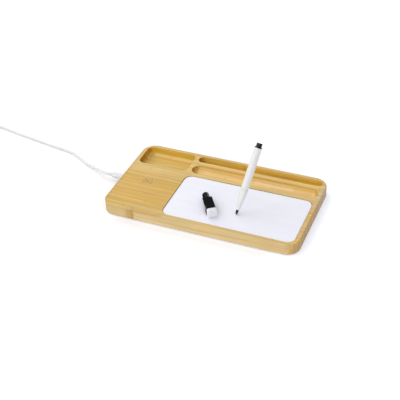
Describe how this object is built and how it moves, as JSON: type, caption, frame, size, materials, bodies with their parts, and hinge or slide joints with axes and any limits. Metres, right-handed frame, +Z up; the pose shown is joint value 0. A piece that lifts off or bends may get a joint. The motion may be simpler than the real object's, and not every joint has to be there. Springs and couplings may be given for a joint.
{
  "type": "desk organizer with wireless charger",
  "caption": "Bamboo desk organizer with a wireless charging spot, clip tray, pen grooves, inset whiteboard, marker, cap with eraser and charging lead.",
  "frame": {"origin": "on the desk, under the middle of the bamboo body", "axes": "+X along the long side away from the charging spot, +Y towards the pen grooves at the back, +Z up"},
  "size_m": [0.629, 0.165, 0.1054],
  "materials": {
    "bamboo": "satin",
    "whiteboard": "gloss",
    "adhesive_sheet": "matte",
    "black_plastic": "satin",
    "white_plastic": "satin",
    "white_cord": "matte",
    "black_cover": "matte",
    "steel": "satin",
    "foot_rubber": "matte",
    "foam": "matte",
    "circuit": "satin",
    "ferrite": "matte",
    "copper": "satin",
    "ceramic": "satin",
    "magnet": "matte",
    "felt": "matte",
    "ink_fibre": "matte",
    "strap": "matte"
  },
  "bodies": {
    "organizer": {"bamboo_body": "bamboo", "whiteboard_panel": "whiteboard", "whiteboard_backing": "adhesive_sheet", "foot_1": "foot_rubber", "foot_2": "foot_rubber", "foot_3": "foot_rubber", "foot_4": "foot_rubber", "bay_cover": "black_cover", "cover_screw_1": "steel", "cover_screw_2": "steel", "cover_screw_3": "steel", "cover_screw_4": "steel", "foam_pad": "foam", "circuit_board": "circuit", "circuit_screw_1": "steel", "circuit_screw_2": "steel", "circuit_screw_3": "steel", "circuit_screw_4": "steel", "charge_controller": "black_plastic", "capacitor_1": "ceramic", "capacitor_2": "ceramic", "capacitor_3": "ceramic", "power_inductor": "ferrite", "ferrite_disc": "ferrite", "charging_coil": "copper", "port_shell": "steel", "port_tongue": "black_plastic"},
    "lead": {"plug_shell": "steel", "plug_body": "white_plastic", "plug_relief": "white_cord", "cord_lead": "white_cord", "cord_coil": "white_cord", "cord_tail": "white_cord", "cord_tie": "strap", "supply_relief": "white_cord", "supply_body": "white_plastic", "supply_shell": "steel", "supply_tongue": "white_plastic"},
    "marker": {"marker_nib": "ink_fibre", "marker_nose": "white_plastic", "marker_barrel": "white_plastic", "marker_end_plug": "black_plastic", "ink_reservoir": "ink_fibre"},
    "cap": {"cap_shell": "black_plastic", "cap_magnet": "magnet", "eraser_felt": "felt"}
  },
  "joints": [
    {"name": "lead_unplug", "type": "slide", "parent": "organizer", "child": "lead", "axis": [-1, 0, 0], "range_m": [0, 0.012]},
    {"name": "marker_lift", "type": "slide", "parent": "organizer", "child": "marker", "axis": [0.1222, 0.6006, 0.7902], "range_m": [0, 0.12]},
    {"name": "cap_lift", "type": "slide", "parent": "organizer", "child": "cap", "axis": [0, 0, 1], "range_m": [0, 0.04]}
  ]
}
